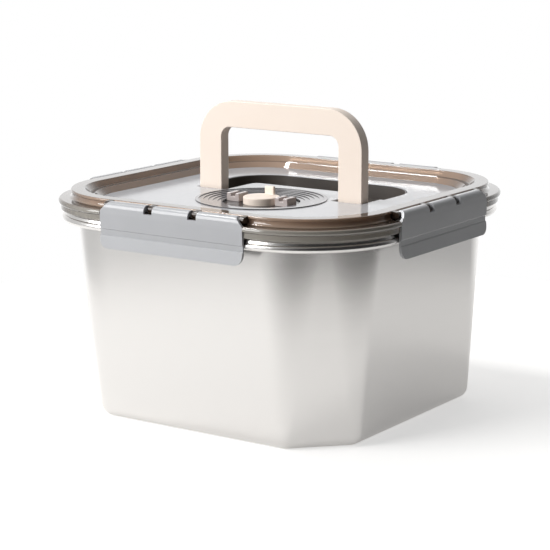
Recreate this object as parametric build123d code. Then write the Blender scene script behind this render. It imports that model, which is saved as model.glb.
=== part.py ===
from build123d import *
from math import radians, sqrt, tan
import os

# Kimchi container: a drawn steel tub and a latched plastic lid with a fold-down handle and an
# air valve. Millimetres, +Z up, origin at the centre of the base, handle parallel to the -Y face.

# Gaps
REST_GAP = 0.3
RUNNING_GAP = 0.05

# Tub
TUB_HEIGHT = 136.3
TUB_BASE_HALF = 106.2
TUB_DRAFT = 3.27
TUB_WALL = 0.7
BASE_CORNER_LEG = 34.2
BASE_CORNER_RADIUS = 8.0
MOUTH_CORNER_RADIUS = 52.0
MOUTH_CORNER_FLAT = 3.0
BASE_EDGE_RADIUS = 8.0
COLLAR_WIDTH = 7.9
COLLAR_HEIGHT = 4.6
BEAD_OVERHANG = 1.7
BEAD_HEIGHT = 3.5
BEAD_DROP = 2.5

# Lid frame
FLANGE_OVERHANG = 3.2
FLANGE_CORNER_RADIUS = 68.8
FLANGE_THICKNESS = 3.6
SKIRT_INSET = 1.4
SKIRT_HEIGHT = 3.8
SKIRT_GAP = 0.8
NECK_INSET = 9.4
NECK_HEIGHT = 3.7
RING_INSET = 8.4
RING_WIDTH = 9.2
RING_THICKNESS = 2.0
RING_EASE = 0.8
STEP_WIDTH = 2.8
STEP_DROP = 3.9
PAN_WALL = 2.4
PAN_CLEARANCE = 2.2
GASKET_INSET = 1.0
GASKET_WIDTH = 4.8
GASKET_THICKNESS = 3.0
GASKET_RIB = 1.6
ROUND_SHARE = 0.45

# Deck
DECK_MARGIN = 10.8
DECK_THICKNESS = 2.2
DECK_DROP = 7.4
DECK_LEDGE = 2.2
DECK_EASE = 0.6

# Handle
HANDLE_HALF = 65.6
HANDLE_LEG = 18.3
HANDLE_BAR = 17.8
HANDLE_THICKNESS = 8.8
HANDLE_REACH = 65.9
HANDLE_OUTER_RADIUS = 27.0
HANDLE_INNER_RADIUS = 7.0
HANDLE_EASE = 0.9
HANDLE_BELOW_DECK = 0.8
HANDLE_PIN_RADIUS = 2.0
HANDLE_PIN_DEPTH = 8.0

# Tray that the handle folds into
TRAY_SIDE_GAP = 3.2
TRAY_BACK_GAP = 3.0
TRAY_FRONT_GAP = 0.4
TRAY_FLOOR_GAP = 0.6
TRAY_FINGER_SPACE = 17.2
TRAY_WALL = 1.8
TRAY_FLANGE = 3.0
TRAY_RIM = 0.8
TRAY_RIM_DROP = 0.4
TRAY_BOSS_LENGTH = 23.0
TRAY_BOSS_DEPTH = 6.5
EAR_RADIUS = 5.0
EAR_CORNER_GAP = 1.0
SCREW_RADIUS = 1.5
SCREW_HEAD_RADIUS = 2.8
SCREW_HEAD_HEIGHT = 1.6
SCREW_LENGTH = 6.5
POST_RADIUS = 4.0

# Air valve
DISH_RADIUS = 44.2
DISH_LIP = 0.6
DISH_LIP_OVERLAP = 2.4
DISH_TRAY_GAP = 3.9
DISH_FLOOR = 1.6
STEP_COUNT = 5
STEP_HEIGHT = 0.45
WELL_RADIUS = 26.0
WELL_DEPTH = 3.8
CRADLE_THICKNESS = 1.0
CRADLE_CAP_GAP = 1.0
CRADLE_LUG_MARGIN = 1.2
CRADLE_LUG_WIDTH = 11.0
CRADLE_LUG_HEIGHT = 6.6
CRADLE_LUG_EASE = 0.8
CAP_RADIUS = 12.2
CAP_HEIGHT = 5.3
CAP_EASE = 0.5
TAB_WIDTH = 7.4
TAB_THICKNESS = 2.4
TAB_HEIGHT = 5.5
TAB_INSET = 0.8
STEM_RADIUS = 3.0
STEM_SOCKET = 2.5
VALVE_LIFT = 3.0
RETAINER_RADIUS = 5.5
RETAINER_THICKNESS = 1.0
RETAINER_MOUTH = 4.8
VENT_RADIUS = 3.5
SEAL_RADIUS = 6.5
SEAL_THICKNESS = 2.0

# Latches
LATCH_WIDTH = 99.0
LATCH_SIDE_FLARE = 6.0
LATCH_DROP = 27.6
LATCH_AXIS_DROP = 2.6
LATCH_BARREL_RADIUS = 2.5
LATCH_RING_GAP = 0.5
LATCH_THICKNESS = 1.8
LATCH_RECESS = 2.7
LATCH_FLANGE_GAP = 0.4
LATCH_SHOULDER_RADIUS = 4.0
LATCH_BULGE = 0.3
LATCH_BAND_DROP = 15.6
LATCH_BAND_HEIGHT = 3.2
LATCH_BAND_DEPTH = 0.7
LATCH_LIP_FLARE = 1.0
LATCH_CORNER_RADIUS = 6.0
HOOK_HEIGHT = 2.6
NOTCH_WIDTH = 6.5
NOTCH_DEPTH = 5.2
NOTCH_SPACING = 34.4
NOTCH_LUG_GAP = 1.2
LUG_RADIUS = 2.1
END_LUG_WIDTH = 4.0
LATCH_PIN_RADIUS = 1.0

# Half widths that several pieces share
COLLAR_HALF = TUB_BASE_HALF + TUB_HEIGHT * tan(radians(TUB_DRAFT)) + COLLAR_WIDTH
BEAD_HALF = COLLAR_HALF + BEAD_OVERHANG
FLANGE_HALF = BEAD_HALF + FLANGE_OVERHANG
CORNER_CENTRE = FLANGE_HALF - FLANGE_CORNER_RADIUS
NECK_HALF = FLANGE_HALF - NECK_INSET
RING_HALF = FLANGE_HALF - RING_INSET
RING_INNER_HALF = RING_HALF - RING_WIDTH
DECK_HALF = RING_INNER_HALF - DECK_MARGIN
RECESS_HALF = DECK_HALF + REST_GAP
PAN_INNER_HALF = RECESS_HALF - DECK_LEDGE
PAN_OUTER_HALF = PAN_INNER_HALF + PAN_WALL
GASKET_HALF = COLLAR_HALF - GASKET_INSET
GASKET_INNER_HALF = GASKET_HALF - GASKET_WIDTH

# Heights that several pieces share
BEAD_TOP = TUB_HEIGHT - BEAD_DROP
BEAD_LOW = BEAD_TOP - BEAD_HEIGHT
GASKET_TOP = TUB_HEIGHT + GASKET_THICKNESS
FLANGE_LOW = TUB_HEIGHT + SKIRT_GAP
FLANGE_MID = FLANGE_LOW + SKIRT_HEIGHT
FLANGE_TOP = FLANGE_MID + FLANGE_THICKNESS
RING_LOW = FLANGE_TOP + NECK_HEIGHT
RING_TOP = RING_LOW + RING_THICKNESS
DECK_TOP = RING_TOP - DECK_DROP
DECK_LOW = DECK_TOP - DECK_THICKNESS
HANDLE_AXIS_Z = DECK_TOP - HANDLE_BELOW_DECK - HANDLE_THICKNESS / 2
TRAY_FLOOR = HANDLE_AXIS_Z - HANDLE_THICKNESS / 2 - TRAY_FLOOR_GAP
TRAY_LOW = TRAY_FLOOR - TRAY_WALL
PAN_FLOOR = TRAY_LOW - PAN_CLEARANCE
PAN_LOW = PAN_FLOOR - PAN_WALL
EAR_TOP = DECK_LOW - SCREW_HEAD_HEIGHT - REST_GAP
EAR_LOW = EAR_TOP - TRAY_WALL
WELL_FLOOR = DECK_TOP - WELL_DEPTH
DISH_LOW = WELL_FLOOR - DISH_FLOOR
CAP_LOW = WELL_FLOOR + REST_GAP
CAP_TOP = CAP_LOW + CAP_HEIGHT
SEAL_TOP = PAN_FLOOR + SEAL_THICKNESS
STEM_LOW = PAN_FLOOR + SEAL_THICKNESS / 2

# The trough's plan
TROUGH_OUTER_X = HANDLE_HALF + TRAY_SIDE_GAP
TROUGH_INNER_X = HANDLE_HALF - HANDLE_LEG - TRAY_SIDE_GAP
TROUGH_FRONT_Y = -HANDLE_THICKNESS / 2 - TRAY_FRONT_GAP
TROUGH_BACK_Y = HANDLE_REACH + TRAY_BACK_GAP
TROUGH_INNER_Y = HANDLE_REACH - HANDLE_BAR - TRAY_FINGER_SPACE
TROUGH_CORNER_RADIUS = HANDLE_OUTER_RADIUS + TRAY_BACK_GAP
BOSS_X = HANDLE_HALF + REST_GAP
BOSS_END_X = BOSS_X + TRAY_BOSS_DEPTH

# The dish stands forward of the tray, as near as their gap lets it
DISH_BODY_RADIUS = DISH_RADIUS - DISH_LIP_OVERLAP
DISH_REACH = DISH_BODY_RADIUS + DISH_TRAY_GAP
TRAY_FLANGE_X = TROUGH_INNER_X - TRAY_FLANGE
BETWEEN_LEGS_Y = TROUGH_FRONT_Y - sqrt(max(0.0, DISH_REACH**2 - TRAY_FLANGE_X**2))
BEFORE_BAR_Y = TROUGH_INNER_Y - TRAY_FLANGE - DISH_REACH
VALVE_Y = min(BETWEEN_LEGS_Y, BEFORE_BAR_Y)
CRADLE_INNER_RADIUS = CAP_RADIUS + CRADLE_CAP_GAP
CRADLE_OUTER_RADIUS = WELL_RADIUS - REST_GAP

# Latch axis and pin
LATCH_AXIS_Z = RING_TOP - LATCH_AXIS_DROP
LATCH_AXIS_Y = -(RING_HALF + LATCH_BARREL_RADIUS + LATCH_RING_GAP)
LATCH_SEAT = FLANGE_HALF - LATCH_RECESS
LATCH_INNER = LATCH_SEAT + LATCH_FLANGE_GAP
LATCH_OUTER = LATCH_INNER + LATCH_THICKNESS
LATCH_TOP = LATCH_AXIS_Z + LATCH_BARREL_RADIUS
LATCH_LOW = LATCH_AXIS_Z - LATCH_DROP
LATCH_LOW_HALF = LATCH_WIDTH / 2 + LATCH_SIDE_FLARE
LATCH_AXIS_HALF = LATCH_WIDTH / 2 + LATCH_SIDE_FLARE * LATCH_BARREL_RADIUS / (LATCH_TOP - LATCH_LOW)
END_LUG_X = LATCH_AXIS_HALF + REST_GAP
LATCH_PIN_HALF = END_LUG_X + END_LUG_WIDTH
NOTCH_CENTRES = (-NOTCH_SPACING / 2, NOTCH_SPACING / 2)
SIDES = {"front": 0, "right": 90, "back": 180, "left": 270}


def square(half, z):
    """Rounded square plan at a height; all such plans share their corner centres."""
    return Plane.XY.offset(z) * RectangleRounded(2 * half, 2 * half, half - CORNER_CENTRE)


def slab(half, low, high, ease=0.0):
    """Rounded square block, with its top and bottom edges eased if asked."""
    form = extrude(square(half, low), high - low)
    if ease:
        levels = form.edges().group_by(Axis.Z)
        form = fillet(levels[0] + levels[-1], ease)
    return form


def funnel(low_half, high_half, low, high):
    """Rounded square block that widens from its bottom to its top."""
    return loft([square(low_half, low), square(high_half, high)], ruled=True)


def disc(radius, low, high, x=0.0, y=0.0):
    """Upright cylinder between two heights."""
    return Pos(x, y, (low + high) / 2) * Cylinder(radius, high - low)


def bar(x0, x1, y0, y1, z0, z1):
    """Box between two corners, given in either order along X."""
    centre = Pos((x0 + x1) / 2, (y0 + y1) / 2, (z0 + z1) / 2)
    return centre * Box(abs(x1 - x0), y1 - y0, z1 - z0)


def rod(radius, x0, x1, y, z):
    """Cylinder along X."""
    return Pos((x0 + x1) / 2, y, z) * Rot(0, 90, 0) * Cylinder(radius, abs(x1 - x0))


def raised(plan, low, high):
    """A plan at height zero, extruded between two heights."""
    return extrude(Plane.XY.offset(low) * plan, high - low)


def cut_square(half, leg, radius, z):
    """Square plan with its corners cut off and the ends of the cuts rounded."""
    points = []
    for x, y in ((1, 1), (-1, 1), (-1, -1), (1, -1)):
        ends = [(x * half, y * (half - leg)), (x * (half - leg), y * half)]
        points += ends if x == y else ends[::-1]
    plan = Polygon(*points, align=None)
    return Plane.XY.offset(z) * fillet(plan.vertices(), radius)


def tub_form(inset):
    """The tub's outer form, or with an inset the space inside its wall."""
    spread = tan(radians(TUB_DRAFT))
    leg_loss = inset * (2 - sqrt(2))
    mouth_leg = (2 * MOUTH_CORNER_RADIUS * tan(radians(22.5)) + MOUTH_CORNER_FLAT) / sqrt(2)
    base_half = TUB_BASE_HALF + inset * spread - inset
    mouth_half = TUB_BASE_HALF + TUB_HEIGHT * spread - inset
    base = cut_square(base_half, BASE_CORNER_LEG - leg_loss, BASE_CORNER_RADIUS - inset, inset)
    mouth = cut_square(mouth_half, mouth_leg - leg_loss, MOUTH_CORNER_RADIUS - inset, TUB_HEIGHT)
    form = loft([base, mouth], ruled=True)
    return fillet(form.edges().group_by(Axis.Z)[0], BASE_EDGE_RADIUS - inset)


def make_tub():
    """Drawn steel tub: drafted walls, faceted corners, a collar and a rolled bead."""
    collar_low = TUB_HEIGHT - COLLAR_HEIGHT
    collar_bore = COLLAR_HALF - TUB_WALL
    collar = slab(COLLAR_HALF, collar_low, TUB_HEIGHT)
    collar -= slab(collar_bore, collar_low, TUB_HEIGHT - TUB_WALL)
    bead = slab(BEAD_HALF, BEAD_LOW, BEAD_TOP, BEAD_HEIGHT * ROUND_SHARE)
    bead -= slab(collar_bore, BEAD_LOW, BEAD_TOP)
    return tub_form(0) + collar + bead - tub_form(TUB_WALL)


def screw_places():
    """Plan positions of the four screws that hold the tray, beside the hinge bosses and behind."""
    x = BOSS_END_X + EAR_RADIUS
    front_y = TROUGH_FRONT_Y + TRAY_BOSS_LENGTH / 2
    back_y = TROUGH_BACK_Y - TROUGH_CORNER_RADIUS - EAR_CORNER_GAP
    return [(side * x, y) for side in (-1, 1) for y in (front_y, back_y)]


def latch_lugs():
    """The lid's lugs on the -Y side: one in each notch of the latch and one at each end."""
    root_y = RING_EASE - NECK_HALF
    lug_half = NOTCH_WIDTH / 2 - NOTCH_LUG_GAP
    lugs = []
    for x in NOTCH_CENTRES:
        arm = bar(x - lug_half, x + lug_half, LATCH_AXIS_Y, root_y, LATCH_AXIS_Z - LUG_RADIUS, RING_TOP)
        lugs.append(arm + rod(LUG_RADIUS, x - lug_half, x + lug_half, LATCH_AXIS_Y, LATCH_AXIS_Z))
    for side in (-1, 1):
        ends = (side * END_LUG_X, side * LATCH_PIN_HALF)
        arm = bar(*ends, LATCH_AXIS_Y, root_y, LATCH_AXIS_Z - LUG_RADIUS, RING_TOP)
        web = bar(*ends, LATCH_AXIS_Y + LUG_RADIUS, root_y, FLANGE_TOP, RING_TOP)
        lugs.append(arm + web + rod(LUG_RADIUS, *ends, LATCH_AXIS_Y, LATCH_AXIS_Z))
    return lugs


def latch_pin_rod():
    """The hinge pin of the -Y side, flush with the outer faces of the end lugs."""
    return rod(LATCH_PIN_RADIUS, -LATCH_PIN_HALF, LATCH_PIN_HALF, LATCH_AXIS_Y, LATCH_AXIS_Z)


def make_lid_frame():
    """Smoked plastic lid: flange with a flat for each latch, neck, top ring, and the deck's pan."""
    frame = slab(FLANGE_HALF - SKIRT_INSET, FLANGE_LOW, FLANGE_TOP)
    frame += slab(FLANGE_HALF, FLANGE_MID, FLANGE_TOP, FLANGE_THICKNESS * ROUND_SHARE)
    frame += slab(NECK_HALF, FLANGE_TOP, RING_LOW)
    frame += slab(RING_HALF, RING_LOW, RING_TOP, RING_EASE)

    taper_low = DECK_LOW - PAN_WALL
    hollow_top = RING_TOP - PAN_WALL
    hollow = slab(GASKET_INNER_HALF - GASKET_RIB, PAN_LOW, hollow_top)
    hollow -= slab(PAN_OUTER_HALF, PAN_LOW, taper_low)
    hollow -= funnel(PAN_OUTER_HALF, RING_INNER_HALF + PAN_WALL, taper_low, hollow_top)
    frame -= hollow
    frame -= slab(GASKET_HALF, FLANGE_LOW, GASKET_TOP) - slab(GASKET_INNER_HALF, FLANGE_LOW, GASKET_TOP)

    step_z = RING_TOP - STEP_DROP
    step_half = RING_INNER_HALF - STEP_WIDTH
    frame += slab(PAN_OUTER_HALF, PAN_LOW, taper_low)
    frame -= slab(PAN_INNER_HALF, PAN_FLOOR, DECK_LOW)
    frame -= slab(RECESS_HALF, DECK_LOW, DECK_TOP)
    frame -= funnel(RECESS_HALF, (RECESS_HALF + step_half) / 2, DECK_TOP, step_z)
    frame -= funnel(step_half, RING_INNER_HALF, step_z, RING_TOP)

    for x, y in screw_places():
        frame += disc(POST_RADIUS, PAN_FLOOR, EAR_LOW, x, y)
        frame -= disc(SCREW_RADIUS, EAR_TOP - SCREW_LENGTH, EAR_TOP, x, y)
    frame -= disc(VENT_RADIUS, PAN_LOW, PAN_FLOOR, 0, VALVE_Y)

    seat_half = LATCH_LOW_HALF + REST_GAP
    recess = bar(-seat_half, seat_half, -FLANGE_HALF, -LATCH_SEAT, FLANGE_LOW, FLANGE_TOP)
    for turn in SIDES.values():
        frame -= Rot(0, 0, turn) * recess
        for lug in latch_lugs():
            frame += Rot(0, 0, turn) * lug
        frame -= Rot(0, 0, turn) * latch_pin_rod()
    return frame


def make_gasket():
    """Silicone ring between the lid's flange and the tub's rim."""
    return slab(GASKET_HALF, TUB_HEIGHT, GASKET_TOP) - slab(GASKET_INNER_HALF, TUB_HEIGHT, GASKET_TOP)


def trough_plan():
    """U-shaped plan of the recess that the folded handle lies in."""
    depth = TROUGH_BACK_Y - TROUGH_FRONT_Y
    outline = Pos(0, TROUGH_FRONT_Y + depth / 2) * Rectangle(2 * TROUGH_OUTER_X, depth)
    outline = fillet(outline.vertices().group_by(Axis.Y)[-1], TROUGH_CORNER_RADIUS)
    depth = TROUGH_INNER_Y - TROUGH_FRONT_Y
    island = Pos(0, TROUGH_FRONT_Y + depth / 2) * Rectangle(2 * TROUGH_INNER_X, depth)
    outline -= fillet(island.vertices().group_by(Axis.Y)[-1], HANDLE_INNER_RADIUS)
    boss = Rectangle(TROUGH_OUTER_X - BOSS_X, TRAY_BOSS_LENGTH)
    boss_x = (TROUGH_OUTER_X + BOSS_X) / 2
    for x in (-boss_x, boss_x):
        outline -= Pos(x, TROUGH_FRONT_Y + TRAY_BOSS_LENGTH / 2) * boss
    return outline


def make_tray():
    """Dark tray under the deck: trough with a raised rim, flange, hinge bosses and screw ears."""
    trough = trough_plan()
    tray = raised(offset(trough, TRAY_WALL, kind=Kind.INTERSECTION), TRAY_LOW, DECK_LOW)
    tray += raised(offset(trough, TRAY_FLANGE, kind=Kind.INTERSECTION), DECK_LOW - TRAY_WALL, DECK_LOW)
    rim_top = DECK_TOP - TRAY_RIM_DROP
    tray += raised(offset(trough, TRAY_RIM, kind=Kind.INTERSECTION), DECK_LOW, rim_top)
    boss_back_y = TROUGH_FRONT_Y + TRAY_BOSS_LENGTH
    for side in (-1, 1):
        tray += bar(side * BOSS_X, side * BOSS_END_X, TROUGH_FRONT_Y, boss_back_y, TRAY_LOW, DECK_LOW)
    for x, y in screw_places():
        wall_x = TROUGH_OUTER_X if x > 0 else -TROUGH_OUTER_X
        tray += bar(wall_x, x, y - EAR_RADIUS, y + EAR_RADIUS, EAR_LOW, EAR_TOP)
        tray += disc(EAR_RADIUS, EAR_LOW, EAR_TOP, x, y)
        tray -= disc(SCREW_RADIUS, EAR_LOW, EAR_TOP, x, y)
    tray -= raised(trough, TRAY_FLOOR, rim_top)
    for side in (-1, 1):
        tray -= rod(HANDLE_PIN_RADIUS, side * BOSS_X, side * BOSS_END_X, 0, HANDLE_AXIS_Z)
    return tray


def make_tray_screws():
    """Four pan-head screws through the tray's ears."""
    screws = []
    for x, y in screw_places():
        shank = disc(SCREW_RADIUS, EAR_TOP - SCREW_LENGTH, EAR_TOP, x, y)
        screws.append(shank + disc(SCREW_HEAD_RADIUS, EAR_TOP, EAR_TOP + SCREW_HEAD_HEIGHT, x, y))
    return Compound(children=screws)


def make_deck():
    """Glossy cover panel with the openings for the handle and the valve dish."""
    deck = slab(DECK_HALF, DECK_LOW, DECK_TOP)
    opening = offset(trough_plan(), TRAY_RIM + REST_GAP, kind=Kind.INTERSECTION)
    deck -= raised(opening, DECK_LOW, DECK_TOP)
    deck -= disc(DISH_BODY_RADIUS + REST_GAP, DECK_LOW, DECK_TOP, 0, VALVE_Y)
    return fillet(deck.edges().group_by(Axis.Z)[-1], DECK_EASE)


def make_handle():
    """Flat arch whose rounded feet turn on two pins."""
    inner = HANDLE_HALF - HANDLE_LEG
    top = HANDLE_AXIS_Z + HANDLE_REACH
    arch = Pos(0, HANDLE_AXIS_Z + HANDLE_REACH / 2) * Rectangle(2 * HANDLE_HALF, HANDLE_REACH)
    arch = fillet(arch.vertices().group_by(Axis.Y)[-1], HANDLE_OUTER_RADIUS)
    gap_height = HANDLE_REACH - HANDLE_BAR
    gap = Pos(0, HANDLE_AXIS_Z + gap_height / 2) * Rectangle(2 * inner, gap_height)
    arch -= fillet(gap.vertices().group_by(Axis.Y)[-1], HANDLE_INNER_RADIUS)
    handle = extrude(Plane.XZ * arch, HANDLE_THICKNESS / 2, both=True)
    outline = [edge for face in handle.faces().filter_by(Axis.Y) for edge in face.edges()]
    handle = fillet([edge for edge in outline if edge.center().Z > HANDLE_AXIS_Z + HANDLE_EASE], HANDLE_EASE)
    for side in (-1, 1):
        handle += rod(HANDLE_THICKNESS / 2, side * inner, side * HANDLE_HALF, 0, HANDLE_AXIS_Z)
        start = side * (HANDLE_HALF - HANDLE_PIN_DEPTH)
        handle -= rod(HANDLE_PIN_RADIUS + RUNNING_GAP, start, side * HANDLE_HALF, 0, HANDLE_AXIS_Z)
    return handle


def make_handle_pin(side):
    """Steel pin from one of the tray's bosses into the handle's foot."""
    start = side * (HANDLE_HALF - HANDLE_PIN_DEPTH + REST_GAP)
    return rod(HANDLE_PIN_RADIUS, start, side * BOSS_END_X, 0, HANDLE_AXIS_Z)


def make_valve_dish():
    """Round dish with concentric steps down to a flat well."""
    bore = STEM_RADIUS + RUNNING_GAP
    well_wall = WELL_RADIUS + DISH_FLOOR
    under = DECK_LOW - DISH_FLOOR
    points = [(bore, DISH_LOW), (well_wall, DISH_LOW), (well_wall, under), (DISH_BODY_RADIUS, under)]
    height = DECK_TOP + DISH_LIP
    points += [(DISH_BODY_RADIUS, DECK_TOP), (DISH_RADIUS, DECK_TOP), (DISH_RADIUS, height)]
    tread = (DISH_BODY_RADIUS - WELL_RADIUS) / STEP_COUNT
    for step in range(STEP_COUNT):
        radius = DISH_BODY_RADIUS - step * tread
        points += [(radius, height), (radius, height - STEP_HEIGHT)]
        height -= STEP_HEIGHT
    points += [(WELL_RADIUS, height), (WELL_RADIUS, WELL_FLOOR), (bore, WELL_FLOOR)]
    profile = Plane.XZ * Polygon(*points, align=None)
    return Pos(0, VALVE_Y, 0) * revolve(profile, Axis.Z)


def make_valve_cradle():
    """Ring in the well with a lug on each side of the cap."""
    low = CRADLE_INNER_RADIUS + CRADLE_LUG_MARGIN
    high = CRADLE_OUTER_RADIUS - CRADLE_LUG_MARGIN
    half = CRADLE_LUG_WIDTH / 2
    top = WELL_FLOOR + CRADLE_LUG_HEIGHT
    cradle = disc(CRADLE_OUTER_RADIUS, WELL_FLOOR, WELL_FLOOR + CRADLE_THICKNESS, 0, VALVE_Y)
    cradle -= disc(CRADLE_INNER_RADIUS, WELL_FLOOR, WELL_FLOOR + CRADLE_THICKNESS, 0, VALVE_Y)
    for side in (-1, 1):
        lug = bar(side * low, side * high, VALVE_Y - half, VALVE_Y + half, WELL_FLOOR, top)
        cradle += chamfer(lug.edges().group_by(Axis.Z)[-1], CRADLE_LUG_EASE)
    return cradle


def make_valve_cap():
    """Round cap with a finger tab at its back edge."""
    cap = disc(CAP_RADIUS, CAP_LOW, CAP_TOP, 0, VALVE_Y)
    cap = fillet(cap.edges().group_by(Axis.Z)[-1], CAP_EASE)
    back = VALVE_Y + CAP_RADIUS - TAB_INSET
    half = TAB_WIDTH / 2
    tab = bar(-half, half, back - TAB_THICKNESS, back, CAP_TOP - CAP_HEIGHT / 2, CAP_TOP + TAB_HEIGHT)
    tab = fillet(tab.edges().filter_by(Axis.X).group_by(Axis.Z)[-1], TAB_THICKNESS * ROUND_SHARE)
    return cap + tab - disc(STEM_RADIUS, CAP_LOW, CAP_LOW + STEM_SOCKET, 0, VALVE_Y)


def make_valve_stem():
    """Stem from the seal up into the cap."""
    return disc(STEM_RADIUS, STEM_LOW, CAP_LOW + STEM_SOCKET, 0, VALVE_Y)


def make_valve_seal():
    """Soft seal that closes the vent in the lid's floor."""
    return disc(SEAL_RADIUS, PAN_FLOOR, SEAL_TOP, 0, VALVE_Y) - make_valve_stem()


def make_valve_retainer():
    """Open clip on the stem that ends the valve's lift."""
    top = DISH_LOW - REST_GAP - VALVE_LIFT
    low = top - RETAINER_THICKNESS
    half = RETAINER_MOUTH / 2
    mouth = bar(-half, half, VALVE_Y - RETAINER_RADIUS, VALVE_Y, low, top)
    return disc(RETAINER_RADIUS, low, top, 0, VALVE_Y) - mouth - make_valve_stem()


def latch_section():
    """Side profile of the -Y latch: shoulder, plate, finger band and flared lip."""
    lip = LATCH_OUTER + LATCH_LIP_FLARE
    band_top = LATCH_AXIS_Z - LATCH_BAND_DROP
    band_low = band_top - LATCH_BAND_HEIGHT
    shoulder_low = LATCH_TOP - LATCH_THICKNESS
    profile = [
        (-LATCH_AXIS_Y, LATCH_TOP),
        (LATCH_OUTER, LATCH_TOP),
        (LATCH_OUTER + LATCH_BULGE, (LATCH_TOP + band_top) / 2),
        (LATCH_OUTER, band_top + LATCH_BAND_DEPTH),
        (LATCH_OUTER - LATCH_BAND_DEPTH, band_top),
        (LATCH_OUTER - LATCH_BAND_DEPTH, band_low),
        (LATCH_OUTER, band_low - LATCH_BAND_DEPTH),
        (lip, LATCH_LOW),
        (lip - LATCH_THICKNESS, LATCH_LOW),
        (LATCH_INNER, band_low - LATCH_BAND_DEPTH),
        (LATCH_INNER, shoulder_low),
        (-LATCH_AXIS_Y, shoulder_low),
    ]
    section = Polygon(*[(-out, z) for out, z in profile], align=None)
    outside = section.vertices().sort_by_distance((-LATCH_OUTER, LATCH_TOP, 0))[0]
    section = fillet(outside, LATCH_SHOULDER_RADIUS)
    inside = section.vertices().sort_by_distance((-LATCH_INNER, shoulder_low, 0))[0]
    return fillet(inside, LATCH_SHOULDER_RADIUS - LATCH_THICKNESS)


def make_latch():
    """Snap latch of the -Y side: a plate that widens to its lip, with barrel, hook and notches."""
    half = LATCH_WIDTH / 2
    latch = extrude(Plane.YZ.offset(-LATCH_LOW_HALF) * latch_section(), 2 * LATCH_LOW_HALF)
    latch += rod(LATCH_BARREL_RADIUS, -half, half, LATCH_AXIS_Y, LATCH_AXIS_Z)
    hook_top = BEAD_LOW - REST_GAP
    hook_root = -(LATCH_INNER + LATCH_OUTER) / 2
    hook_half = half - LATCH_CORNER_RADIUS
    latch += bar(-hook_half, hook_half, hook_root, -(BEAD_HALF + REST_GAP), hook_top - HOOK_HEIGHT, hook_top)

    ends = [(-half, LATCH_TOP), (-LATCH_LOW_HALF, LATCH_LOW), (LATCH_LOW_HALF, LATCH_LOW), (half, LATCH_TOP)]
    outline = Polygon(*ends, align=None)
    outline = fillet(outline.vertices().group_by(Axis.Y)[0], LATCH_CORNER_RADIUS)
    latch &= extrude(Plane.XZ * outline, 2 * FLANGE_HALF)
    for x in NOTCH_CENTRES:
        ends = (x - NOTCH_WIDTH / 2, x + NOTCH_WIDTH / 2)
        latch -= bar(*ends, 2 * LATCH_AXIS_Y, -RING_HALF, LATCH_TOP - NOTCH_DEPTH, LATCH_TOP)
    bore = LATCH_PIN_RADIUS + RUNNING_GAP
    return latch - rod(bore, -LATCH_LOW_HALF, LATCH_LOW_HALF, LATCH_AXIS_Y, LATCH_AXIS_Z)


pieces = {
    "tub": make_tub(),
    "lid_frame": make_lid_frame(),
    "lid_gasket": make_gasket(),
    "deck_panel": make_deck(),
    "handle_tray": make_tray(),
    "tray_screws": make_tray_screws(),
    "handle": make_handle(),
    "handle_pin_left": make_handle_pin(-1),
    "handle_pin_right": make_handle_pin(1),
    "valve_dish": make_valve_dish(),
    "valve_cradle": make_valve_cradle(),
    "valve_cap": make_valve_cap(),
    "valve_stem": make_valve_stem(),
    "valve_seal": make_valve_seal(),
    "valve_retainer": make_valve_retainer(),
}

latch = make_latch()
for side, turn in SIDES.items():
    pieces[f"latch_{side}"] = Rot(0, 0, turn) * latch
    pieces[f"latch_pin_{side}"] = Rot(0, 0, turn) * latch_pin_rod()

os.makedirs("parts", exist_ok=True)
for name, piece in pieces.items():
    export_step(piece, f"parts/{name}.step")
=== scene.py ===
from math import cos, pi, radians, sin, tan

import bmesh
import bpy
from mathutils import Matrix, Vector


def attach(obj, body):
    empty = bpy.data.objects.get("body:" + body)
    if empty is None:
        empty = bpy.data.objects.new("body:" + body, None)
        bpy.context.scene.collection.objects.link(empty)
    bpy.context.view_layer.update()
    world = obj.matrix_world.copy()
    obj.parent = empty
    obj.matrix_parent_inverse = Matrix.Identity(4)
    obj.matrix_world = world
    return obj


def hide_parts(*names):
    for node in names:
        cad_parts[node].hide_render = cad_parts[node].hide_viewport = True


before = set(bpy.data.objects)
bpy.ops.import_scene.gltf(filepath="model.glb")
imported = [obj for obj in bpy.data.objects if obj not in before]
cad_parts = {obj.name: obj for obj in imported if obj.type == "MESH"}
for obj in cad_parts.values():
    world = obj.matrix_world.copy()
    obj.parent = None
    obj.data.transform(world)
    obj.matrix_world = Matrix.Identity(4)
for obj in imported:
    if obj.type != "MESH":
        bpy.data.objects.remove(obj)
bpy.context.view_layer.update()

# Camera
# It stands to the right of the container's front and a little above the lid, with a long lens.
MM = 0.001
CAMERA_PLACE = Vector((720.1, -1072.2, 355.0)) * MM
CAMERA_AZIMUTH = radians(34.1)
CAMERA_ELEVATION = radians(11.74)
CAMERA_LENS = 126.5
CAMERA_SENSOR = 36.0

backward = Vector((sin(CAMERA_AZIMUTH) * cos(CAMERA_ELEVATION),
                   -cos(CAMERA_AZIMUTH) * cos(CAMERA_ELEVATION),
                   sin(CAMERA_ELEVATION)))
bpy.ops.object.select_all(action="DESELECT")
bpy.ops.object.camera_add(location=CAMERA_PLACE, rotation=backward.to_track_quat("Z", "Y").to_euler())
camera = bpy.context.object
camera.name = "camera"
camera.data.lens = CAMERA_LENS
camera.data.sensor_width = CAMERA_SENSOR
bpy.context.scene.camera = camera
bpy.context.scene.view_settings.view_transform = "Standard"

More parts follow.
